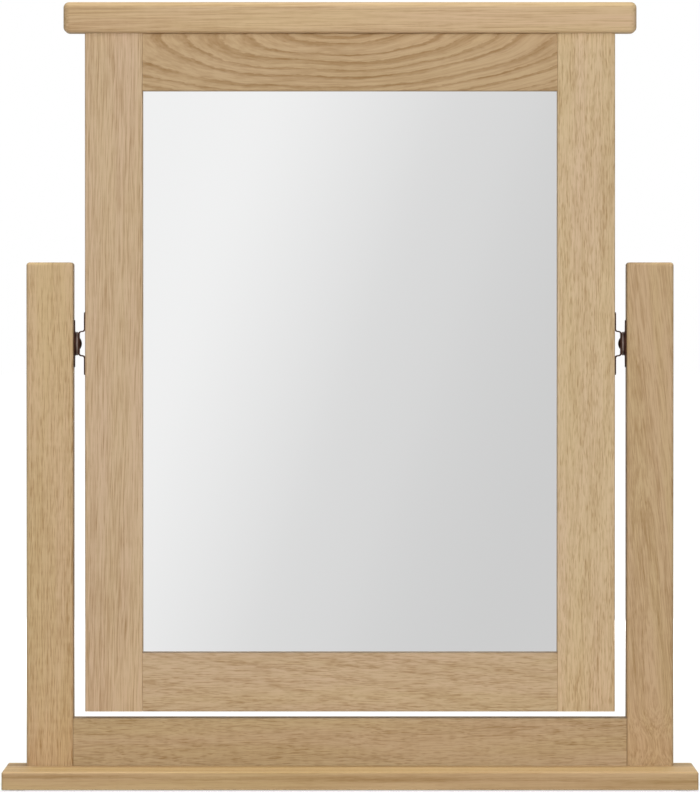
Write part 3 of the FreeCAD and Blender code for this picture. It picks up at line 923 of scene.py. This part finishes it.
def hinge_frame(side):
    """The origin is on the stile's outer face at the pivot line, +Z points at the post and +X points up."""
    out = Vector((side, 0, 0))
    turn = Matrix((UP, out.cross(UP), out)).transposed().to_4x4()
    return Matrix.Translation((side * STILE_X, PIVOT.y, PIVOT.z)) @ turn


def both_hinges(model, piece, node, body, slot, *finishes):
    """A left and a right copy of a model, each in place of its own node."""
    pair = copies(model, [hinge_frame(sign) for sign in SIDES.values()])
    for side, copy in zip(SIDES, pair):
        seated(copy, f"{side}_{piece}", body, f"{side}_{node}", slot, *finishes)


def fitted(piece, low, high, seats):
    """A strap or a plate with its holes for the rivet and the screws, and with softened, rubbed edges."""
    sizes = settings().fittings
    bore = sizes.rivet + HOLE_FIT
    combined(piece, "DIFFERENCE", turned([(0, low), (bore, low), (bore, high), (0, high)]))
    radius = sizes.screw + HOLE_FIT
    head = sizes.screw_head + HOLE_FIT
    depth = 2 * head
    hole = [(0, -depth), (radius, -depth), (radius, radius - head)]
    countersink = [(head, 0), (head, depth), (0, depth)]
    for seat in seats:
        drill = turned(hole + countersink)
        drill.matrix_world = seat
        combined(piece, "DIFFERENCE", drill)
    return with_modifier(
        piece,
        "BEVEL",
        width=sizes.edge,
        segments=SOFT_STEPS,
        limit_method="ANGLE",
        angle_limit=SMOOTH_ANGLE,
        material=RUBBED_SLOT,
    )


def strap_model():
    """A strip of sheet bent into a hat, with rounded ends, two screw holes and a hole for the rivet."""
    sizes = settings().fittings
    thickness = sizes.strap_thickness
    rise = STRAP_HIGH.x - STILE_X - thickness
    wall = (sizes.strap_hat - thickness) / 2
    end = (STRAP_HIGH.z - STRAP_LOW.z) / 2
    width = STRAP_HIGH.y - STRAP_LOW.y
    leg = end - wall

    def at_bend(edge):
        """Whether an edge runs across the strip where it bends."""
        first, second = (corner.co for corner in edge.verts)
        across = abs(first.y - second.y) > SAME_PLACE
        return across and all(abs(abs(corner.x) - wall) < SAME_PLACE for corner in (first, second))

    clear_selection()
    bpy.ops.mesh.primitive_plane_add(size=1, enter_editmode=True)
    bpy.ops.transform.resize(value=(leg, width, 1), center_override=(0, 0, 0))
    bpy.ops.transform.translate(value=(-wall - leg / 2, 0, thickness / 2))
    select_where("EDGE", lambda edge: all(abs(corner.co.x + wall) < SAME_PLACE for corner in edge.verts))
    for step in ((0, 0, rise), (2 * wall, 0, 0), (0, 0, -rise), (leg, 0, 0)):
        bpy.ops.mesh.extrude_region_move(TRANSFORM_OT_translate={"value": step})
    select_where("EDGE", at_bend)
    bpy.ops.mesh.bevel(offset=sizes.strap_bend, segments=BEND_STEPS, affect="EDGES")
    select_where("VERT", lambda corner: abs(abs(corner.co.x) - end) < SAME_PLACE)
    bpy.ops.mesh.bevel(offset=sizes.strap_end, segments=BEND_STEPS, affect="VERTICES")
    strap = close_up()
    with_modifier(strap, "SOLIDIFY", thickness=thickness, offset=0.0, use_even_offset=True)
    return fitted(strap, 0, 2 * rise, strap_screw_seats())


def plate_model():
    """A plate with a round middle and two ears, with a raised boss that the rivet is peened into."""
    sizes = settings().fittings
    back = POST_X - STILE_X
    face = PLATE_LOW.x - STILE_X
    thickness = sizes.plate_thickness
    middle = back - thickness / 2
    half_pitch = sizes.plate_screw_pitch / 2
    ear = sizes.plate_ear
    discs = ((0, (PLATE_HIGH.y - PLATE_LOW.y) / 2), (half_pitch, ear), (-half_pitch, ear))
    clear_selection()
    for i, (x, radius) in enumerate(discs):
        bpy.ops.mesh.primitive_cylinder_add(
            vertices=TURNED_SIDES,
            radius=radius,
            depth=thickness,
            location=(x, 0, middle),
            enter_editmode=i == 0,
        )
    bpy.ops.mesh.select_all(action="SELECT")
    bpy.ops.mesh.convex_hull()
    plate = close_up()
    boss = sizes.boss
    well_rim, well_floor = (boss * share for share in BOSS_WELL_SHARES)
    well = face + BOSS_WELL_DEPTH
    outline = [(0, middle), (boss, middle)]
    outline += arc((boss - BOSS_RIM, face + BOSS_RIM), BOSS_RIM, 0, -90)
    outline += [(well_rim, face), (well_floor, well), (0, well)]
    combined(plate, "UNION", turned(outline))
    return fitted(plate, face - thickness, back + thickness, plate_screw_seats())


def washer_model():
    """A turned washer with eased edges."""
    bore = settings().fittings.rivet + HOLE_FIT
    low = WASHER_LOW.x - STILE_X
    high = WASHER_HIGH.x - STILE_X
    radius = (WASHER_HIGH.y - WASHER_LOW.y) / 2
    outline = [(bore, low)]
    outline += arc((radius - WASHER_EASE, low + WASHER_EASE), WASHER_EASE, -90, 0)
    outline += arc((radius - WASHER_EASE, high - WASHER_EASE), WASHER_EASE, 0, 90)
    return turned(outline + [(bore, high), (bore, low)])


def rivet_model():
    """A rivet with a domed head, and a tail that is peened out behind the boss."""
    shank = settings().fittings.rivet
    head = (RIVET_HIGH.y - RIVET_LOW.y) / 2
    seat = RIVET_LOW.x - STILE_X + RIVET_DOME
    tail = RIVET_HIGH.x - STILE_X
    crown = [(radius, seat - height) for radius, height in reversed(dome(head, RIVET_DOME))]
    body = [(shank, seat), (shank, tail - RIVET_FLARE), (shank + RIVET_FLARE, tail), (0, tail)]
    return turned(crown + body)


def drive_cutter(reach, width, depth, top):
    """One arm of a cross-shaped recess, which narrows downwards."""
    clear_selection()
    bpy.ops.mesh.primitive_cube_add(size=1, enter_editmode=True)
    bpy.ops.transform.resize(value=(2 * reach, width, depth), center_override=(0, 0, 0))
    bpy.ops.transform.translate(value=(0, 0, top - depth / 2))
    select_where("FACE", lambda face: face.normal.z < -FACING)
    bpy.ops.transform.resize(value=(*DRIVE_TAPER, 1), center_override=(0, 0, top - depth))
    return close_up()


def sunk_screw_model():
    """A countersunk wood screw with a cross-shaped recess, the top of its head at the origin."""
    sizes = settings().fittings
    head = sizes.screw_head
    shank = sizes.screw
    root = SCREW_ROOT * shank
    pitch = sizes.thread_pitch
    neck = shank - head - SCREW_NECK * shank
    tip = SCREW_POINT * shank - sizes.screw_length
    outline = [(0, 0), (head - SCREW_RIM, 0), (head, -SCREW_RIM), (shank, shank - head), (shank, neck)]
    for i in range(int((neck - tip) / pitch)):
        crest = neck - i * pitch
        outline += [(root, crest - share * pitch) for share in GROOVE_FLAT]
        outline += [(shank, crest - pitch)]
    outline += [(root, tip), (0, -sizes.screw_length)]
    screw = turned(outline, SCREW_SIDES)
    depth = DRIVE_DEPTH * head
    past = DRIVE_PAST * depth
    for turn in (0, 90):
        cutter = drive_cutter(DRIVE_REACH * head, DRIVE_WIDTH * head, depth + past, past)
        cutter.rotation_euler.z = math.radians(turn)
        combined(screw, "DIFFERENCE", cutter)
    return screw


def strap_screw_seats():
    """Where the tops of a strap's screws lie in the hinge's own frame, their heads towards the post."""
    sizes = settings().fittings
    half = sizes.strap_screw_pitch / 2
    return [Matrix.Translation((x, 0, sizes.strap_thickness)) for x in (-half, half)]


def plate_screw_seats():
    """Where the tops of a plate's screws lie in the hinge's own frame, their heads towards the stile."""
    sizes = settings().fittings
    half = sizes.plate_screw_pitch / 2
    seat = POST_X - STILE_X - sizes.plate_thickness
    turned_over = Matrix.Rotation(math.pi, 4, "X")
    return [Matrix.Translation((x, 0, seat)) @ turned_over for x in (-half, half)]


def screw_set(seats):
    """The screws in the same seats of both hinges, as one piece."""
    places = [hinge_frame(sign) @ seat for sign in SIDES.values() for seat in seats]
    return joined(copies(sunk_screw_model(), places))


# Glass and feet


def pane_model():
    """The pane, with a ground arris round both faces."""
    low, high = GLASS_LOW, GLASS_HIGH
    middle = (low + high) / 2
    clear_selection()
    bpy.ops.mesh.primitive_cube_add(size=1, location=middle, enter_editmode=True)
    bpy.ops.transform.resize(value=high - low, center_override=middle)
    bpy.ops.mesh.bevel(offset=settings().glass.arris, segments=1, affect="EDGES")
    pane = close_up()
    for face in pane.data.polygons:
        across = face.normal.dot(BACK)
        if abs(across) < FACING:
            face.material_index = EDGE_SLOT
        else:
            face.material_index = FACE_SLOT if across < 0 else BACK_SLOT
    return pane


def foot_model():
    """A low clear foot, with a rounded rim and a shallow hollow underneath."""
    height = FEET_HIGH.z - FEET_LOW.z
    radius = settings().fittings.foot
    hollow, hollow_rim = (radius * share for share in FOOT_HOLLOW_SHARES)
    outline = [(0, FOOT_HOLLOW_DEPTH), (hollow, FOOT_HOLLOW_DEPTH), (hollow_rim, 0)]
    outline += arc((radius - FOOT_EASE, FOOT_EASE), FOOT_EASE, -90, 0)
    outline += [(radius - FOOT_TOP_EASE, height - FOOT_TOP_EASE), (radius - 2 * FOOT_TOP_EASE, height)]
    return turned(outline + [(0, height)])


# Studio


@dataclass
class Softbox:
    """A soft lamp: where it hangs, its width and height, and the colour of its light."""

    place: tuple
    size: tuple
    tint: tuple = (1.0, 1.0, 1.0)


# Each softbox takes its power from the setting of the same name
SOFTBOXES = {
    "front": Softbox(place=(0.1, -3.2, 0.6), size=(1.0, 1.3)),
    "fill": Softbox(place=(0, -3.0, 1.9), size=(1.0, 1.0)),
    "top": Softbox(place=(0, 0.12, 9.0), size=(2.0, 0.7), tint=(0.942, 1.0, 0.913)),
    "back": Softbox(place=(0.3, 3.2, 0.7), size=(1.0, 1.2)),
}
AIM_HEIGHT = 0.32
CAMERA_REACH = 100.0
QUARTER_TURN = math.radians(90)

# How much of their white the surroundings show in a reflection, so that the glass stands out from them.
# The floor shows less, because light falls on it too.
WORLD_REFLECTED = 0.85
FLOOR_REFLECTED = 0.45

# The floor's own glow, and the ring in millimetres over which it rises to white
FLOOR_SIZE = 60.0
FLOOR_GLOW = 0.66
FLOOR_RING = (500.0, 1800.0)

# The card that the mirror reflects: the way that it darkens, the greys along that way within a reach in
# millimetres either side of its middle, and the ring in millimetres where it fades out
CARD_DISTANCE = 1.0
CARD_SIZE = 3.2
CARD_FALL = (0.94, 0.0, -0.34)
CARD_REACH = 400.0
CARD_GREYS = ((0.20, 0.956), (0.335, 0.932), (0.48, 0.80), (0.60, 0.728), (0.735, 0.67))
CARD_RING = (1500.0, 500.0)


def set_camera(studio):
    """The camera, in front of the mirror."""
    clear_selection()
    bpy.ops.object.camera_add(
        location=(0, PIVOT.y - studio.camera_distance, studio.camera_height),
        rotation=(QUARTER_TURN - studio.camera_dip, 0, 0),
    )
    camera = bpy.context.object
    camera.name = "camera"
    camera.data.lens = studio.lens
    camera.data.clip_end = CAMERA_REACH
    bpy.context.scene.camera = camera


def hang(name, box, power):
    """Hangs a softbox, which the camera and reflections don't see, and aims it at the mirror."""
    clear_selection()
    direction = Vector((0, PIVOT.y, AIM_HEIGHT)) - Vector(box.place)
    turn = direction.to_track_quat("-Z", "Y").to_euler()
    bpy.ops.object.light_add(type="AREA", location=box.place, rotation=turn)
    lamp = bpy.context.object
    lamp.name = name
    lamp.data.shape = "RECTANGLE"
    lamp.data.size, lamp.data.size_y = box.size
    lamp.data.color = box.tint
    lamp.data.energy = power
    lamp.visible_camera = False
    lamp.visible_glossy = False


def seen_directly(sheet, reflected):
    """1 for what is seen straight or through glass, a share of it in a reflection, and 0 for other light."""
    path = sheet.add("LightPath", output="Is Camera Ray")
    straight = sheet.math("MAXIMUM", path, path.other("Is Transmission Ray"))
    return sheet.math("MAXIMUM", straight, path.other("Is Glossy Ray") * reflected)


def white_world(ambient):
    """White where it is seen, and a weak light from all round."""
    world = bpy.data.worlds.new("studio")
    bpy.context.scene.world = world
    sheet = Sheet(world)
    level = ambient + seen_directly(sheet, WORLD_REFLECTED) * (1.0 - ambient)
    sheet.output(sheet.add("Background", {}, {"Color": level}), "OutputWorld")


def pale_floor(tone):
    """A pale floor that is white where it is seen and keeps the mirror's shadow."""
    clear_selection()
    bpy.ops.mesh.primitive_plane_add(size=FLOOR_SIZE)
    floor = bpy.context.object
    floor.name = "floor"
    sheet = new_sheet("pale_floor")
    outwards = sheet.ease(sheet.length(sheet.place()), *FLOOR_RING)
    glow = FLOOR_GLOW + outwards * (1.0 - FLOOR_GLOW)
    matt = sheet.add("BsdfDiffuse", {}, {"Color": opaque(tone)})
    lit = sheet.add("Emission", {}, {"Color": glow * seen_directly(sheet, FLOOR_REFLECTED)})
    floor.data.materials.append(sheet.output(sheet.add("AddShader", {}, {0: matt, 1: lit})))


def reflection_card(studio):
    """A card that only reflections see, pale at its upper left and greyer at its lower right."""
    middle = (GLASS_LOW + GLASS_HIGH) / 2
    rise = (middle.z - studio.camera_height) * CARD_DISTANCE / studio.camera_distance
    centre = (0, GLASS_LOW.y - CARD_DISTANCE, middle.z + rise)
    clear_selection()
    bpy.ops.mesh.primitive_plane_add(size=CARD_SIZE, location=centre, rotation=(QUARTER_TURN, 0, 0))
    card = apply_place()
    card.name = "reflection_card"
    sheet = new_sheet("reflection_card")
    place = sheet.place(centre)
    fall = sheet.along(place, CARD_FALL) / (2 * CARD_REACH) + 0.5
    glow = sheet.add("Emission", {}, {"Color": sheet.add("ValToRGB", {"stops": CARD_GREYS}, {0: fall})})
    clear = sheet.add("BsdfTransparent")
    inwards = sheet.ease(sheet.length(place), *CARD_RING)
    card.data.materials.append(sheet.output(sheet.add("MixShader", {}, {0: inwards, 1: clear, 2: glow})))
    card.visible_camera = False
    card.visible_diffuse = False
    card.visible_shadow = False


# Operators


class TABLEMIRROR_OT_oak_boards(bpy.types.Operator):
    """Gives each oak board its own cut of the tree, its tone and its lacquer"""

    bl_idname = "table_mirror.oak_boards"
    bl_label = "Oak boards"

    def execute(self, context):
        for name, cut in CUTS.items():
            finish_node(name, oak(name, getattr(settings().oak, name), cut))
        return {"FINISHED"}


class TABLEMIRROR_OT_hidden_boards(bpy.types.Operator):
    """Finishes the backing board and the dowels"""

    bl_idname = "table_mirror.hidden_boards"
    bl_label = "Backing board and dowels"

    def execute(self, context):
        finish_node("backing_board", hardboard())
        wood = beech()
        for name in ("frame_dowels", "cap_dowels", "stand_dowels"):
            finish_node(name, wood)
        return {"FINISHED"}


class TABLEMIRROR_OT_silvered_pane(bpy.types.Operator):
    """Models the silvered pane with its ground edges"""

    bl_idname = "table_mirror.silvered_pane"
    bl_label = "Silvered pane"

    def execute(self, context):
        finishes = (silvered_glass(), ground_edge(), backing_paint())
        seated(pane_model(), "silvered_pane", MIRROR, "mirror_glass", "silvered_glass", *finishes)
        return {"FINISHED"}


class TABLEMIRROR_OT_swivel_fittings(bpy.types.Operator):
    """Models the straps, plates, washers and rivets of both swivel fittings"""

    bl_idname = "table_mirror.swivel_fittings"
    bl_label = "Swivel fittings"

    def execute(self, context):
        tones = settings().fittings
        dark = bronze("antique_bronze", tones.bronze)
        worn = bronze("worn_bronze", tones.worn_bronze)
        both_hinges(strap_model(), "hinge_strap", "strap", MIRROR, "bronze", dark, worn)
        both_hinges(plate_model(), "hinge_plate", "post_plate", STAND, "bronze", dark, worn)
        turned_metal = washer_metal()
        both_hinges(washer_model(), "turned_washer", "friction_washer", STAND, "washer_metal", turned_metal)
        both_hinges(rivet_model(), "domed_rivet", "pivot_rivet", STAND, "bronze", dark)
        return {"FINISHED"}


class TABLEMIRROR_OT_screws(bpy.types.Operator):
    """Models the hinge screws and finishes the others"""

    bl_idname = "table_mirror.screws"
    bl_label = "Screws"

    def execute(self, context):
        finish = bronze("screw_bronze", settings().fittings.worn_bronze)
        strap_set = screw_set(strap_screw_seats())
        plate_set = screw_set(plate_screw_seats())
        seated(strap_set, "sunk_strap_screws", MIRROR, "strap_screws", "bronze", finish)
        seated(plate_set, "sunk_plate_screws", STAND, "post_plate_screws", "bronze", finish)
        steel = plated_steel()
        for name in ("post_screws", "cross_rail_screws", "backing_screws"):
            finish_node(name, steel)
        return {"FINISHED"}


class TABLEMIRROR_OT_rubber_parts(bpy.types.Operator):
    """Models the feet and finishes the glazing strips"""

    bl_idname = "table_mirror.rubber_parts"
    bl_label = "Feet and glazing strips"

    def execute(self, context):
        radius = settings().fittings.foot
        places = [
            Matrix.Translation((x, y, FEET_LOW.z))
            for x in (FEET_LOW.x + radius, FEET_HIGH.x - radius)
            for y in (FEET_LOW.y + radius, FEET_HIGH.y - radius)
        ]
        feet = joined(copies(foot_model(), places))
        seated(feet, "moulded_feet", STAND, "rubber_feet", "clear_rubber", clear_rubber())
        finish_node("glazing_strips", rubber())
        return {"FINISHED"}


class TABLEMIRROR_OT_studio(bpy.types.Operator):
    """Sets up the camera, the lights, the floor and the card that the mirror reflects"""

    bl_idname = "table_mirror.studio"
    bl_label = "Studio"

    def execute(self, context):
        studio = settings().studio
        context.scene.view_settings.view_transform = "Standard"
        set_camera(studio)
        for name, box in SOFTBOXES.items():
            hang(name, box, getattr(studio, name))
        white_world(studio.ambient)
        pale_floor(studio.floor)
        reflection_card(studio)
        return {"FINISHED"}


STEPS = (
    TABLEMIRROR_OT_oak_boards,
    TABLEMIRROR_OT_hidden_boards,
    TABLEMIRROR_OT_silvered_pane,
    TABLEMIRROR_OT_swivel_fittings,
    TABLEMIRROR_OT_screws,
    TABLEMIRROR_OT_rubber_parts,
    TABLEMIRROR_OT_studio,
)
GROUPS = (OakSettings, GlassSettings, FittingSettings, BoardSettings, StudioSettings, MirrorSettings)


class TABLEMIRROR_PT_steps(bpy.types.Panel):
    """Lists the steps that dress the mirror, with their settings"""

    bl_idname = "TABLEMIRROR_PT_steps"
    bl_label = "Dressing table mirror"
    bl_space_type = "VIEW_3D"
    bl_region_type = "UI"
    bl_category = "Mirror"

    def draw(self, context):
        steps = self.layout.column(align=True)
        for step in STEPS:
            steps.operator(step.bl_idname)
        for name in MirrorSettings.__annotations__:
            box = self.layout.box()
            box.label(text=name.title())
            group = getattr(settings(), name)
            for key in type(group).__annotations__:
                box.prop(group, key)


CLASSES = (*GROUPS, *STEPS, TABLEMIRROR_PT_steps)


def register():
    """Makes the settings, steps and panel known."""
    for each in CLASSES:
        bpy.utils.register_class(each)
    bpy.types.Scene.table_mirror = PointerProperty(type=MirrorSettings)


def unregister():
    """Takes them away again."""
    del bpy.types.Scene.table_mirror
    for each in reversed(CLASSES):
        bpy.utils.unregister_class(each)


def main():
    """Runs every step in order."""
    register()
    for step in STEPS:
        group, name = step.bl_idname.split(".")
        getattr(getattr(bpy.ops, group), name)()
    clear_selection()


if __name__ == "__main__":
    main()
